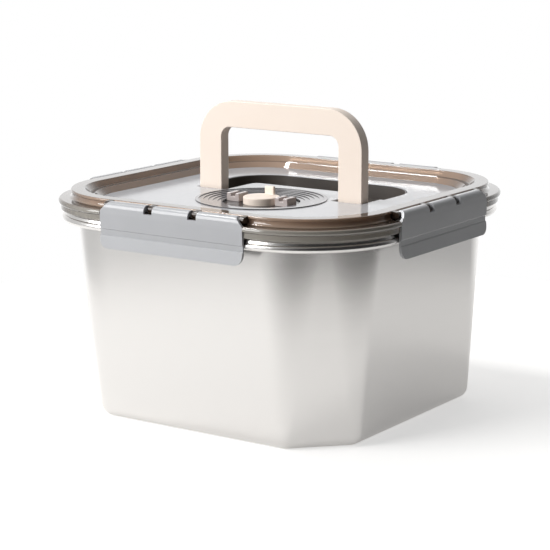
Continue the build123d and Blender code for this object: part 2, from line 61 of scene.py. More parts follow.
# Studio
# A small round white table under soft light: a large softbox on the left, a smaller one overhead,
# a white sweep behind, and a dim room on the right. Metal and gloss reflect all of them.
TABLE_RADIUS = 0.45
TABLE_SIDES = 128
TABLE_COLOUR = "#ecebe9"
TABLE_FLARE = 0.5
TABLE_SHINE = 0.35
ROOM_BRIGHT = 0.75
ROOM_DARK = 0.035
ROOM_SIDE = Vector((-0.97, 0.22, 0.12)).normalized()
ROOM_EDGES = (-0.6, 0.5)
SWEEP_BRIGHT = 0.55
SWEEP_SIDE = Vector((-0.3, 0.95, 0.0)).normalized()
SWEEP_EDGES = (0.35, 0.9)
SWEEP_RISE = (0.5, 0.2)
LAMPS = (
    ("softbox_left", (-0.95, -1.45, 0.78), 1.2, 29.5),
    ("softbox_above", (-0.74, -0.18, 1.4), 0.26, 7.0),
)
LAMP_AIM = Vector((0.0, 0.0, 0.09))


def linear(colour):
    """Scene-linear RGBA of an sRGB hex colour."""
    parts = [int(colour[place:place + 2], 16) / 255 for place in (1, 3, 5)]
    return [part / 12.92 if part <= 0.04045 else ((part + 0.055) / 1.055) ** 2.4 for part in parts] + [1.0]


def add_node(tree, kind, sockets=(), **settings):
    """Add a node, set its properties, and fill or link its sockets."""
    node = tree.nodes.new(kind)
    for name, value in settings.items():
        setattr(node, name, value)
    for socket, value in dict(sockets).items():
        if isinstance(value, bpy.types.NodeSocket):
            tree.links.new(value, node.inputs[socket])
        else:
            node.inputs[socket].default_value = value
    return node


world = bpy.data.worlds.new("studio_room")
bpy.context.scene.world = world
world.use_nodes = True
tree = world.node_tree
tree.nodes.clear()
rays = add_node(tree, "ShaderNodeLightPath")
direction = add_node(tree, "ShaderNodeTexCoord").outputs["Generated"]
height = add_node(tree, "ShaderNodeSeparateXYZ", {"Vector": direction}).outputs["Z"]
shares = []
for facing, edges in ((ROOM_SIDE, ROOM_EDGES), (SWEEP_SIDE, SWEEP_EDGES)):
    toward = add_node(tree, "ShaderNodeVectorMath", {0: direction, 1: facing}, operation="DOT_PRODUCT")
    share = add_node(tree, "ShaderNodeMapRange", {"Value": toward.outputs["Value"], "From Min": edges[0],
                     "From Max": edges[1]}, interpolation_type="SMOOTHSTEP")
    shares.append(share.outputs["Result"])
rise = add_node(tree, "ShaderNodeMapRange", {"Value": height, "From Min": SWEEP_RISE[0],
                "From Max": SWEEP_RISE[1]}, interpolation_type="SMOOTHSTEP")
sweep = add_node(tree, "ShaderNodeMath", {0: shares[1], 1: rise.outputs["Result"]}, operation="MULTIPLY")
walls = add_node(tree, "ShaderNodeMapRange", {"Value": shares[0], "To Min": ROOM_DARK, "To Max": ROOM_BRIGHT})
level = add_node(tree, "ShaderNodeMath", {0: sweep.outputs[0], 1: SWEEP_BRIGHT,
                 2: walls.outputs["Result"]}, operation="MULTIPLY_ADD")
room = add_node(tree, "ShaderNodeBackground", {"Color": linear("#ffffff"), "Strength": level.outputs[0]})
white = add_node(tree, "ShaderNodeBackground", {"Color": linear("#ffffff"), "Strength": 1.0})
seen = add_node(tree, "ShaderNodeMath", {0: rays.outputs["Is Camera Ray"],
                1: rays.outputs["Is Transmission Ray"]}, operation="MAXIMUM")
air = add_node(tree, "ShaderNodeMixShader", {0: seen.outputs[0], 1: room.outputs[0], 2: white.outputs[0]})
add_node(tree, "ShaderNodeOutputWorld", {"Surface": air.outputs[0]})

bpy.ops.object.select_all(action="DESELECT")
bpy.ops.mesh.primitive_circle_add(vertices=TABLE_SIDES, radius=TABLE_RADIUS, fill_type="NGON")
table = bpy.context.object
table.name = "table"
paper = bpy.data.materials.new("white_paper_sweep")
paper.use_nodes = True
tree = paper.node_tree
tree.nodes.clear()
rays = add_node(tree, "ShaderNodeLightPath")
matt = add_node(tree, "ShaderNodeBsdfDiffuse", {"Color": linear(TABLE_COLOUR)})
through = add_node(tree, "ShaderNodeMath", {0: rays.outputs["Is Glossy Ray"],
                   1: rays.outputs["Is Transmission Ray"]}, operation="MAXIMUM")
shine = add_node(tree, "ShaderNodeMath", {0: through.outputs[0], 1: TABLE_SHINE}, operation="MULTIPLY")
flare = add_node(tree, "ShaderNodeMath", {0: rays.outputs["Is Camera Ray"], 1: TABLE_FLARE,
                 2: shine.outputs[0]}, operation="MULTIPLY_ADD")
glow = add_node(tree, "ShaderNodeEmission", {"Color": linear("#ffffff"), "Strength": flare.outputs[0]})
both = add_node(tree, "ShaderNodeAddShader", {0: matt.outputs[0], 1: glow.outputs[0]})
add_node(tree, "ShaderNodeOutputMaterial", {"Surface": both.outputs[0]})
table.data.materials.append(paper)

for name, place, size, power in LAMPS:
    aim = Vector(place) - LAMP_AIM
    bpy.ops.object.light_add(type="AREA", location=place, rotation=aim.to_track_quat("Z", "Y").to_euler())
    lamp = bpy.context.object
    lamp.name = name
    lamp.data.size = size
    lamp.data.energy = power

# Tub
# Deep-drawn stainless steel, 0.7 mm: flat walls with broad faceted corners that die out at the
# round mouth, a flat rim and an outward rolled bead. Its outside is finely brushed.
CORNER_CENTRE = 57.988
CORNER_STEPS = 25
CORNER_TURN = 45
TUB_BASE_HALF = 106.2
TUB_CORNER_LEG = 34.2
TUB_CORNER_RADIUS = 8.0
TUB_BASE_EDGE = 7.6
TUB_BASE_STEPS = 6
TUB_WALL_CUTS = 8
TUB_WALL = 0.7
BEAD_CENTRE = (121.838, 132.05)
BEAD_RADIUS = 1.75
BEAD_TURN = (75, -175)
BEAD_STEPS = 10
TUB_RIM = [(113.908, 134.9), (114.09, 135.65), (114.54, 136.12), (115.32, 136.3), (120.82, 136.3),
           (121.47, 136.1), (121.82, 135.6), (121.888, 134.9)]
WELD = 0.01
NEAR = 0.01


def begin(name, place):
    """A new piece of one vertex at a place in mm, open in edit mode."""
    bpy.ops.object.select_all(action="DESELECT")
    bpy.ops.mesh.primitive_plane_add(size=MM)
    piece = bpy.context.object
    piece.name = name
    bpy.ops.object.mode_set(mode="EDIT")
    bpy.ops.mesh.select_mode(type="VERT")
    bpy.ops.mesh.merge(type="CENTER")
    bpy.ops.transform.translate(value=Vector(place) * MM)
    return piece


def draw(places):
    """Draw edges from the selected vertex, at the first place, through the others, in mm."""
    for here, there in zip(places, places[1:]):
        step = (Vector(there) - Vector(here)) * MM
        bpy.ops.mesh.extrude_vertices_move(TRANSFORM_OT_translate={"value": step})


def pick(piece, kind, test):
    """Select the vertices, edges or faces whose points, in mm, all pass a test."""
    bpy.ops.mesh.select_all(action="DESELECT")
    bpy.ops.mesh.select_mode(type=kind)
    form = bmesh.from_edit_mesh(piece.data)
    for part in {"VERT": form.verts, "EDGE": form.edges, "FACE": form.faces}[kind]:
        points = [part] if kind == "VERT" else part.verts
        if all(test(*(point.co / MM)) for point in points):
            part.select_set(True)
    bmesh.update_edit_mesh(piece.data)


def arc(centre, radius, start, end, steps):
    """Points of an arc between two angles in degrees."""
    turns = [radians(start + (end - start) * step / steps) for step in range(steps + 1)]
    return [(centre[0] + radius * cos(turn), centre[1] + radius * sin(turn)) for turn in turns]


def ring(name, profile):
    """Carry a profile of (half width, height) in mm round the container's rounded square."""
    places = [(half, CORNER_CENTRE, height) for half, height in profile]
    piece = begin(name, places[0])
    draw(places)
    bpy.ops.mesh.select_all(action="SELECT")
    centre = Vector((CORNER_CENTRE, CORNER_CENTRE, 0)) * MM
    bpy.ops.mesh.spin(steps=CORNER_STEPS, angle=-pi / 2, center=centre, axis=(0, 0, 1))
    side = (-2 * CORNER_CENTRE * MM, 0, 0)
    bpy.ops.mesh.extrude_region_move(TRANSFORM_OT_translate={"value": side})
    bpy.ops.mesh.select_all(action="SELECT")
    bpy.ops.mesh.spin(steps=3, angle=-1.5 * pi, center=(0, 0, 0), axis=(0, 0, 1), dupli=True)
    bpy.ops.mesh.select_all(action="SELECT")
    bpy.ops.mesh.remove_doubles(threshold=WELD * MM)
    return piece


def finish(piece, ease=0.0, segments=2, sharp=35):
    """Ease the edges by mm, then shade round faces smooth and leave flat ones flat."""
    bpy.ops.object.mode_set(mode="OBJECT")
    if ease:
        bevel = piece.modifiers.new("eased_edges", "BEVEL")
        bevel.width = ease * MM
        bevel.segments = segments
        bevel.limit_method = "ANGLE"
        bevel.angle_limit = radians(sharp)
        bpy.ops.object.modifier_apply(modifier=bevel.name)
    bpy.ops.object.shade_smooth_by_angle(angle=radians(sharp))
    weighted = piece.modifiers.new("flat_faces", "WEIGHTED_NORMAL")
    weighted.keep_sharp = True
    bpy.ops.object.modifier_apply(modifier=weighted.name)


def material(name):
    """A new material with its node tree and its main shader."""
    skin = bpy.data.materials.new(name)
    skin.use_nodes = True
    return skin, skin.node_tree, skin.node_tree.nodes["Principled BSDF"]


def dress(piece, body, slot, skin, *nodes):
    """Give a piece its body, its finish, and the nodes that it stands for."""
    piece.data.materials.clear()
    piece.data.materials.append(skin)
    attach(piece, body)
    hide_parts(*nodes)


bead = arc(BEAD_CENTRE, BEAD_RADIUS, *BEAD_TURN, BEAD_STEPS)
tub = ring("steel_tub", TUB_RIM + bead)
bpy.ops.mesh.primitive_plane_add(size=2 * TUB_BASE_HALF * MM)
bpy.ops.mesh.bevel(offset=TUB_CORNER_LEG * MM, segments=1, affect="VERTICES", clamp_overlap=False)
pick(tub, "VERT", lambda x, y, z: z < NEAR)
tangent = TUB_CORNER_RADIUS * tan(radians(CORNER_TURN / 2))
bpy.ops.mesh.bevel(offset=tangent * MM, segments=(CORNER_STEPS - 1) // 2, affect="VERTICES")
mouth_low = TUB_RIM[0][1]

# Of these edges only the base's and the rim's first make loops that meet no others, so the wall is
# bridged between those two. The outside is then the side that faces down at the base.
pick(tub, "EDGE", lambda x, y, z: z < mouth_low + NEAR)
bpy.ops.mesh.bridge_edge_loops(number_cuts=TUB_WALL_CUTS, interpolation="LINEAR")
pick(tub, "EDGE", lambda x, y, z: z < NEAR)
bpy.ops.mesh.bevel(offset=TUB_BASE_EDGE * MM, segments=TUB_BASE_STEPS, affect="EDGES")
bpy.ops.mesh.select_all(action="SELECT")
bpy.ops.mesh.normals_make_consistent(inside=False)
form = bmesh.from_edit_mesh(tub.data)
if min(form.faces, key=lambda face: face.calc_center_median().z).normal.z > 0:
    bpy.ops.mesh.flip_normals()
bpy.ops.object.mode_set(mode="OBJECT")
wall = tub.modifiers.new("sheet", "SOLIDIFY")
wall.thickness = TUB_WALL * MM
wall.offset = -1.0
bpy.ops.object.modifier_apply(modifier=wall.name)
finish(tub)

# Brushed 304 stainless: a neutral grey metal whose fine level lines spread its reflections sideways.
# The real lines are about 0.1 mm apart and are drawn 0.6 mm apart so that they show, in runs of about 170 mm.
STEEL_COLOUR = "#d6d4d2"
STEEL_ROUGHNESS = (0.24, 0.27)
STEEL_LINE = 0.6
STEEL_RUN = 166.7
STEEL_GROOVE = 0.02

steel, tree, shader = material("brushed_stainless")
place = add_node(tree, "ShaderNodeTexCoord").outputs["Object"]
lines = add_node(tree, "ShaderNodeMapping", {"Vector": place, "Scale": (1 / (STEEL_RUN * MM),
                 1 / (STEEL_RUN * MM), 1 / (STEEL_LINE * MM))})
grain = add_node(tree, "ShaderNodeTexNoise", {"Vector": lines.outputs[0], "Scale": 1.0, "Detail": 3.0})
rough = add_node(tree, "ShaderNodeMapRange", {"Value": grain.outputs["Fac"], "From Min": 0.3, "From Max": 0.7,
                 "To Min": STEEL_ROUGHNESS[0], "To Max": STEEL_ROUGHNESS[1]})
bump = add_node(tree, "ShaderNodeBump", {"Height": grain.outputs["Fac"], "Strength": 0.05,
                "Distance": STEEL_GROOVE * MM})
shader.inputs["Base Color"].default_value = linear(STEEL_COLOUR)
shader.inputs["Metallic"].default_value = 1.0
tree.links.new(rough.outputs[0], shader.inputs["Roughness"])
tree.links.new(bump.outputs[0], shader.inputs["Normal"])
dress(tub, "tub", "steel", steel, "tub")

# Lid ring
# Smoky brown clear plastic, injection moulded and polished: skirt and flange over the tub's rim,
# a waisted neck, the broad top ring, and the pan under the deck.
LID_FLOOR_Z = (126.2, 128.6)
LID_PROFILE = [
    (94.0, 126.2, 0.0), (98.888, 126.2, 2.0), (98.888, 138.2, 1.0), (111.588, 147.8, 0.6),
    (114.488, 147.8, 0.6), (114.488, 137.1, 0.3), (116.088, 137.1, 0.3), (116.088, 139.3, 0.0),
    (120.888, 139.3, 0.0), (120.888, 137.1, 0.3), (125.388, 137.1, 0.8), (125.388, 140.9, 0.3),
    (126.788, 140.9, 1.5), (126.788, 144.5, 1.7), (117.388, 144.5, 2.4), (117.388, 148.2, 0.3),
    (118.388, 148.2, 0.5), (118.388, 150.2, 0.8), (109.188, 150.2, 0.9), (106.388, 146.3, 0.4),
    (102.538, 146.3, 0.4), (98.688, 142.8, 0.2), (98.688, 140.6, 0.0), (96.488, 140.6, 0.2),
    (96.488, 128.6, 1.0), (93.0, 128.6, 0.0),
]
LID_FLOOR_HALF = 94.5
LATCH_SEAT_OUT = (124.088, 130.0)
LATCH_SEAT_Z = (136.0, 144.6)
LATCH_SEAT_HALF = 55.8
LID_ARC_STEPS = 4


def eased(corners, steps):
    """Outline through (across, up, radius) corners, each radius drawn as an arc of some steps."""
    outline = [Vector(corners[0][:2])]
    for before, here, after in zip(corners, corners[1:], corners[2:]):
        corner = Vector(here[:2])
        if not here[2]:
            outline.append(corner)
            continue
        back = (Vector(before[:2]) - corner).normalized()
        on = (Vector(after[:2]) - corner).normalized()
        half_angle = back.angle(on) / 2
        centre = corner + (back + on).normalized() * here[2] / sin(half_angle)
        start = (corner + back * here[2] / tan(half_angle) - centre).normalized()
        end = (corner + on * here[2] / tan(half_angle) - centre).normalized()
        for step in range(steps + 1):
            outline.append(centre + start.slerp(end, step / steps) * here[2])
    return outline + [Vector(corners[-1][:2])]


def carve(piece, low, high):
    """Cut the box between two corners, in mm, out of a piece."""
    low, high = Vector(low) * MM, Vector(high) * MM
    bpy.ops.object.select_all(action="DESELECT")
    bpy.ops.mesh.primitive_cube_add(size=1, location=(low + high) / 2, scale=high - low)
    cutter = bpy.context.object
    bpy.ops.object.transform_apply(location=True, rotation=True, scale=True)
    bpy.ops.object.select_all(action="DESELECT")
    bpy.context.view_layer.objects.active = piece
    piece.select_set(True)
    cut = piece.modifiers.new("cut", "BOOLEAN")
    cut.operation = "DIFFERENCE"
    cut.object = cutter
    bpy.ops.object.modifier_apply(modifier=cut.name)
    bpy.data.objects.remove(cutter)


lid = ring("lid_ring", [tuple(point) for point in eased(LID_PROFILE, LID_ARC_STEPS)])
for floor_z in LID_FLOOR_Z:
    pick(lid, "EDGE", lambda x, y, z: abs(z - floor_z) < NEAR and max(abs(x), abs(y)) < LID_FLOOR_HALF)
    bpy.ops.mesh.edge_face_add()
bpy.ops.mesh.select_all(action="SELECT")
bpy.ops.mesh.normals_make_consistent(inside=False)
bpy.ops.object.mode_set(mode="OBJECT")
seat_in, seat_out = LATCH_SEAT_OUT
for near, far in ((seat_in, seat_out), (-seat_out, -seat_in)):
    carve(lid, (near, -LATCH_SEAT_HALF, LATCH_SEAT_Z[0]), (far, LATCH_SEAT_HALF, LATCH_SEAT_Z[1]))
    carve(lid, (-LATCH_SEAT_HALF, near, LATCH_SEAT_Z[0]), (LATCH_SEAT_HALF, far, LATCH_SEAT_Z[1]))
finish(lid)

# Smoked SAN: a clear brown plastic, darker where it is seen at a slant and so through more of it,
# with the sharp polish of its mould. The flange and skirt stand over the steel rim and are painted grey
# there: a painted reflection of the steel rim seen in the clear plastic.
SMOKE_COLOUR = "#c3a791"
SMOKE_SHADE = "#b89c86"
SMOKE_CLOUD = 18.0
SMOKE_EDGE = "#3a2d25"
SMOKE_SLANT = (0.35, 0.88)
FLANGE_PAINTED_STEEL = "#aaa59c"
FLANGE_FADE = (143.8, 145.2)
FLANGE_FROM = 110.0

smoke, tree, shader = material("smoked_san")
place = add_node(tree, "ShaderNodeTexCoord").outputs["Object"]
cloud = add_node(tree, "ShaderNodeTexNoise", {"Vector": place, "Scale": 1 / (SMOKE_CLOUD * MM),
                 "Detail": 2.0})
tone = add_node(tree, "ShaderNodeMix", {"Factor": cloud.outputs["Fac"], "A": linear(SMOKE_COLOUR),
                "B": linear(SMOKE_SHADE)}, data_type="RGBA")
quarter = add_node(tree, "ShaderNodeVectorMath", {0: place}, operation="ABSOLUTE")
corner = add_node(tree, "ShaderNodeVectorMath", {0: quarter.outputs[0],
                  1: (CORNER_CENTRE * MM, CORNER_CENTRE * MM, 1.0)}, operation="SUBTRACT")
past = add_node(tree, "ShaderNodeVectorMath", {0: corner.outputs[0], 1: (0.0, 0.0, 0.0)}, operation="MAXIMUM")
out = add_node(tree, "ShaderNodeVectorMath", {0: past.outputs[0]}, operation="LENGTH")
outer = add_node(tree, "ShaderNodeMath", {0: out.outputs["Value"], 1: (FLANGE_FROM - CORNER_CENTRE) * MM},
                 operation="GREATER_THAN")
lift = add_node(tree, "ShaderNodeSeparateXYZ", {"Vector": place}).outputs["Z"]
low = add_node(tree, "ShaderNodeMapRange", {"Value": lift, "From Min": FLANGE_FADE[1] * MM,
               "From Max": FLANGE_FADE[0] * MM})
# Painted reflection: outside the corners' rounding and below the flange top, the brown fades to a painted
# grey that stands for the steel rim.
painted_steel_mask = add_node(tree, "ShaderNodeMath", {0: low.outputs["Result"], 1: outer.outputs[0]}, operation="MULTIPLY")
body = add_node(tree, "ShaderNodeMix", {"Factor": painted_steel_mask.outputs[0], "A": tone.outputs["Result"],
                "B": linear(FLANGE_PAINTED_STEEL)}, data_type="RGBA")
slant = add_node(tree, "ShaderNodeLayerWeight", {"Blend": 0.5})
depth = add_node(tree, "ShaderNodeMapRange", {"Value": slant.outputs["Facing"], "From Min": SMOKE_SLANT[0],
                 "From Max": SMOKE_SLANT[1]})
deep = add_node(tree, "ShaderNodeMix", {"Factor": depth.outputs["Result"], "A": body.outputs["Result"],
                "B": linear(SMOKE_EDGE)}, data_type="RGBA")
shader.inputs["Roughness"].default_value = 0.05
shader.inputs["IOR"].default_value = 1.57
shader.inputs["Transmission Weight"].default_value = 0.4
shader.inputs["Coat Weight"].default_value = 0.35
shader.inputs["Coat Roughness"].default_value = 0.03
tree.links.new(deep.outputs["Result"], shader.inputs["Base Color"])
dress(lid, "lid", "smoked_plastic", smoke, "lid_frame")

# Latch lugs
# Moulded with the lid: on each side a narrow lug in each latch notch, and a deeper one, with a web
# down to the flange, at each end of the latch.
AXIS_OUT = 121.388
AXIS_Z = 147.6
LUG_RADIUS = 2.1
LUG_ROOT = 116.588
LUG_TOP = 150.2
MID_LUGS = (-17.2, 17.2)
MID_LUG_WIDTH = 4.1
END_LUG_INNER = 50.3
END_LUG_WIDTH = 4.0
LUG_SINK = 0.2
LUG_EASE = 0.25
LUG_TURN = (-90, 88)
LUG_ARC_STEPS = 12
CLOUD_SIZE = 25.0
ROUGHNESS_SPREAD = 0.15
FLANGE_TOP = 144.5
OTHER_SIDES = {"right": 90, "back": 180, "left": 270}


def prism(name, outline, start, width):
    """A closed outline of (distance out, height) on the front side, extruded along X, in mm."""
    places = [(start, -out, height) for out, height in outline]
    piece = begin(name, places[0])
    draw(places + places[:1])
    bpy.ops.mesh.select_all(action="SELECT")
    bpy.ops.mesh.remove_doubles(threshold=WELD * MM)
    bpy.ops.mesh.edge_face_add()
    bpy.ops.mesh.extrude_region_move(TRANSFORM_OT_translate={"value": (width * MM, 0, 0)})
    bpy.ops.mesh.select_all(action="SELECT")
    bpy.ops.mesh.normals_make_consistent(inside=False)
    return piece


def copy_turned(piece, name, turn):
    """A copy with its own mesh, turned about the container's upright axis by degrees."""
    bpy.ops.object.select_all(action="DESELECT")
    bpy.context.view_layer.objects.active = piece
    piece.select_set(True)
    bpy.ops.object.duplicate(linked=False)
    twin = bpy.context.object
    twin.name = name
    twin.rotation_euler.z = radians(turn)
    bpy.ops.object.transform_apply(location=True, rotation=True, scale=True)
    return twin


def join(name, parts):
    """Join parts into the first of them."""
    bpy.ops.object.select_all(action="DESELECT")
    for part in parts:
        part.select_set(True)
    bpy.context.view_layer.objects.active = parts[0]
    bpy.ops.object.join()
    parts[0].name = name
    return parts[0]


def moulded(name, colour, shade, roughness, grain_mm, depth_mm):
    """A moulded plastic: two close tones in slow clouds, and the mould's grain in its surface."""
    skin, tree, shader = material(name)
    place = add_node(tree, "ShaderNodeTexCoord").outputs["Object"]
    cloud = add_node(tree, "ShaderNodeTexNoise", {"Vector": place, "Scale": 1 / (CLOUD_SIZE * MM),
                     "Detail": 2.0})
    tone = add_node(tree, "ShaderNodeMix", {"Factor": cloud.outputs["Fac"], "A": linear(colour),
                    "B": linear(shade)}, data_type="RGBA")
    grain = add_node(tree, "ShaderNodeTexNoise", {"Vector": place, "Scale": 1 / (grain_mm * MM),
                     "Detail": 1.0})
    spread = add_node(tree, "ShaderNodeMapRange", {"Value": grain.outputs["Fac"], "From Min": 0.3,
                      "From Max": 0.7, "To Min": roughness * (1 - ROUGHNESS_SPREAD),
                      "To Max": roughness * (1 + ROUGHNESS_SPREAD)})
    bump = add_node(tree, "ShaderNodeBump", {"Height": grain.outputs["Fac"], "Strength": 0.4,
                    "Distance": depth_mm * MM})
    tree.links.new(tone.outputs["Result"], shader.inputs["Base Color"])
    tree.links.new(spread.outputs[0], shader.inputs["Roughness"])
    tree.links.new(bump.outputs[0], shader.inputs["Normal"])
    shader.inputs["IOR"].default_value = 1.53
    return skin


# The same smoked SAN, where it is solid and 4 mm thick, with a sharp polish: nearly black, partly its own
# colour and partly painted shade of the dark latch notches.
thick_smoke_and_shade = moulded("smoked_san_thick_and_shade", "#3a2e27", "#33281f", roughness=0.08, grain_mm=2.0, depth_mm=0.005)

nose = arc((AXIS_OUT, AXIS_Z), LUG_RADIUS, *LUG_TURN, LUG_ARC_STEPS)
mid_outline = [(LUG_ROOT, AXIS_Z - LUG_RADIUS)] + nose + [(LUG_ROOT, LUG_TOP)]
web_out = AXIS_OUT - LUG_RADIUS
web_low = FLANGE_TOP - LUG_SINK
end_outline = [(LUG_ROOT, web_low), (web_out, web_low), (web_out, AXIS_Z - LUG_RADIUS - NEAR)]
end_outline += nose + [(LUG_ROOT, LUG_TOP)]
lugs = []
for middle in MID_LUGS:
    lugs.append(prism("lug", mid_outline, middle - MID_LUG_WIDTH / 2, MID_LUG_WIDTH))
    finish(lugs[-1], LUG_EASE)
for start in (-END_LUG_INNER - END_LUG_WIDTH, END_LUG_INNER):
    lugs.append(prism("lug", end_outline, start, END_LUG_WIDTH))
    finish(lugs[-1], LUG_EASE)
front_lugs = join("lid_lugs_front", lugs)
# The lugs' near-black is partly painted shade, so that the latch notches they fill look dark.
dress(front_lugs, "lid", "smoked_plastic", thick_smoke_and_shade)
for side, turn in OTHER_SIDES.items():
    dress(copy_turned(front_lugs, f"lid_lugs_{side}", turn), "lid", "smoked_plastic", thick_smoke_and_shade)

# Latches
# Four snap latches of satin grey ABS: a rounded shoulder over the hinge barrel, a faintly bowed
# plate, a sunk finger band, a flared lip, and a hook just below the bead.
LATCH_HALF = 49.5
LATCH_LOW_HALF = 55.5
LATCH_TOP = 150.1
LATCH_LOW = 120.0
LATCH_INNER = 124.488
LATCH_OUTER = 126.288
LATCH_BOW = ((0.21, 143.0), (0.3, 141.0), (0.18, 136.5))
BAND_TOP = 132.0
BAND_LOW = 128.8
BAND_DEPTH = 0.7
LIP_OUT = 127.288
BARREL_RADIUS = 2.5
BARREL_TURN = (-4, -270)
BARREL_STEPS = 18
SHOULDER_RADIUS = 4.0
SHOULDER_STEPS = 8
SHOULDER_INSIDE_TURN = (0, 38)
SHOULDER_INSIDE_STEPS = 4
LATCH_CORNER = 6.0
LATCH_CORNER_STEPS = 6
LATCH_EASE = 0.35
HOOK_Z = (127.4, 130.0)
HOOK_REACH = 0.6
HOOK_HALF = 43.5
NOTCH_WIDTH = 6.5
NOTCH_FLOOR = 144.9
NOTCH_TOP = 152.0
NOTCH_OUT = (115.0, 135.0)
END_CUT_OUT = (118.0, 124.0)
END_CUT_Z = (144.0, 147.6)
END_CUT_HALF = 56.0


def keep_edges(piece, test):
    """Leave selected only those edges that pass a test."""
    form = bmesh.from_edit_mesh(piece.data)
    for edge in form.edges:
        edge.select_set(edge.select and test(edge))
    bmesh.update_edit_mesh(piece.data)


LATCH_THICK = LATCH_OUTER - LATCH_INNER
shoulder_centre = (LATCH_OUTER - SHOULDER_RADIUS, LATCH_TOP - SHOULDER_RADIUS)
outside = arc(shoulder_centre, SHOULDER_RADIUS, 90, 0, SHOULDER_STEPS)
inside = arc(shoulder_centre, SHOULDER_RADIUS - LATCH_THICK, *SHOULDER_INSIDE_TURN, SHOULDER_INSIDE_STEPS)
barrel = arc((AXIS_OUT, AXIS_Z), BARREL_RADIUS, *BARREL_TURN, BARREL_STEPS)
plate = [(LATCH_OUTER + bow, height) for bow, height in LATCH_BOW]
plate += [(LATCH_OUTER, BAND_TOP + BAND_DEPTH), (LATCH_OUTER - BAND_DEPTH, BAND_TOP),
          (LATCH_OUTER - BAND_DEPTH, BAND_LOW), (LATCH_OUTER, BAND_LOW - BAND_DEPTH), (LIP_OUT, LATCH_LOW),
          (LIP_OUT - LATCH_THICK, LATCH_LOW), (LATCH_INNER, HOOK_Z[0]), (LATCH_INNER, HOOK_Z[1])]
outline = outside + plate + inside + barrel[:-1]
latch = prism("latch_plate_front", outline, -LATCH_LOW_HALF, 2 * LATCH_LOW_HALF)
flare = Vector((LATCH_TOP - LATCH_LOW, 0, LATCH_LOW_HALF - LATCH_HALF))
for way in (-1, 1):
    bpy.ops.mesh.select_all(action="SELECT")
    bpy.ops.mesh.bisect(plane_co=(way * LATCH_HALF * MM, 0, LATCH_TOP * MM),
                        plane_no=(way * flare.x, 0, flare.z), use_fill=True, clear_outer=True)
pick(latch, "EDGE", lambda x, y, z: z < LATCH_LOW + NEAR)
keep_edges(latch, lambda edge: abs(edge.verts[0].co.x - edge.verts[1].co.x) <= MM)
bpy.ops.mesh.bevel(offset=LATCH_CORNER * MM, segments=LATCH_CORNER_STEPS, affect="EDGES")
for cut in (-HOOK_HALF, HOOK_HALF):
    bpy.ops.mesh.select_all(action="SELECT")
    bpy.ops.mesh.bisect(plane_co=(cut * MM, 0, 0), plane_no=(1, 0, 0))
pick(latch, "FACE", lambda x, y, z: abs(x) < HOOK_HALF + NEAR and abs(-y - LATCH_INNER) < NEAR
     and HOOK_Z[0] - NEAR < z < HOOK_Z[1] + NEAR)
bpy.ops.mesh.extrude_region_move(TRANSFORM_OT_translate={"value": (0, HOOK_REACH * MM, 0)})
bpy.ops.object.mode_set(mode="OBJECT")
for middle in MID_LUGS:
    carve(latch, (middle - NOTCH_WIDTH / 2, -NOTCH_OUT[1], NOTCH_FLOOR),
          (middle + NOTCH_WIDTH / 2, -NOTCH_OUT[0], NOTCH_TOP))
for inner, outer in ((LATCH_HALF, END_CUT_HALF), (-END_CUT_HALF, -LATCH_HALF)):
    carve(latch, (inner, -END_CUT_OUT[1], END_CUT_Z[0]), (outer, -END_CUT_OUT[0], END_CUT_Z[1]))
finish(latch, LATCH_EASE, segments=3)

# Satin ABS: a neutral grey with the faint even grain of a spark-eroded mould, 0.3 mm across and
# drawn at 0.5 mm, and a soft highlight.
satin_abs = moulded("satin_grey_abs", "#b0b1b4", "#aaabae", roughness=0.18, grain_mm=0.5, depth_mm=0.01)
dress(latch, "latch_front", "latch_grey", satin_abs, "latch_front")
for side, turn in OTHER_SIDES.items():
    twin = copy_turned(latch, f"latch_plate_{side}", turn)
    dress(twin, f"latch_{side}", "latch_grey", satin_abs, f"latch_{side}")

# Handle
# A flat arch of ivory polypropylene with a fine satin skin, its feet rounded to turn on two pins.
HANDLE_HALF = 65.6
HANDLE_INNER = 47.3
HANDLE_LOW = 133.2
HANDLE_TOP = 203.5
HANDLE_GAP_TOP = 185.7
HANDLE_THICK = 8.8
HANDLE_OUTER_RADIUS = 27.0
HANDLE_INNER_RADIUS = 7.0
HANDLE_EASE = 0.9
HANDLE_ARC_STEPS = 14
HANDLE_FOOT_STEPS = 10
HANDLE_FOOT_FLAT = 0.02

corners = [(HANDLE_HALF, HANDLE_LOW, 0), (HANDLE_HALF, HANDLE_TOP, HANDLE_OUTER_RADIUS),
           (-HANDLE_HALF, HANDLE_TOP, HANDLE_OUTER_RADIUS), (-HANDLE_HALF, HANDLE_LOW, 0),
           (-HANDLE_INNER, HANDLE_LOW, 0), (-HANDLE_INNER, HANDLE_GAP_TOP, HANDLE_INNER_RADIUS),
           (HANDLE_INNER, HANDLE_GAP_TOP, HANDLE_INNER_RADIUS), (HANDLE_INNER, HANDLE_LOW, 0)]
outline = [(across, -HANDLE_THICK / 2, up) for across, up in eased(corners, HANDLE_ARC_STEPS)]
handle = begin("handle_arch", outline[0])
draw(outline + outline[:1])
bpy.ops.mesh.select_all(action="SELECT")
bpy.ops.mesh.remove_doubles(threshold=WELD * MM)
bpy.ops.mesh.edge_face_add()
bpy.ops.mesh.extrude_region_move(TRANSFORM_OT_translate={"value": (0, HANDLE_THICK * MM, 0)})
bpy.ops.mesh.select_all(action="SELECT")
bpy.ops.mesh.normals_make_consistent(inside=False)
pick(handle, "EDGE", lambda x, y, z: z < HANDLE_LOW + NEAR)
keep_edges(handle, lambda edge: abs(edge.verts[0].co.x - edge.verts[1].co.x) > MM)
foot_radius = HANDLE_THICK / 2 - HANDLE_FOOT_FLAT
bpy.ops.mesh.bevel(offset=foot_radius * MM, segments=HANDLE_FOOT_STEPS, affect="EDGES")
finish(handle, HANDLE_EASE, segments=3)
ivory_pp = moulded("ivory_polypropylene", "#f8eadd", "#f5e6d8", roughness=0.42, grain_mm=0.45,
                   depth_mm=0.015)
dress(handle, "handle", "cream", ivory_pp, "handle")
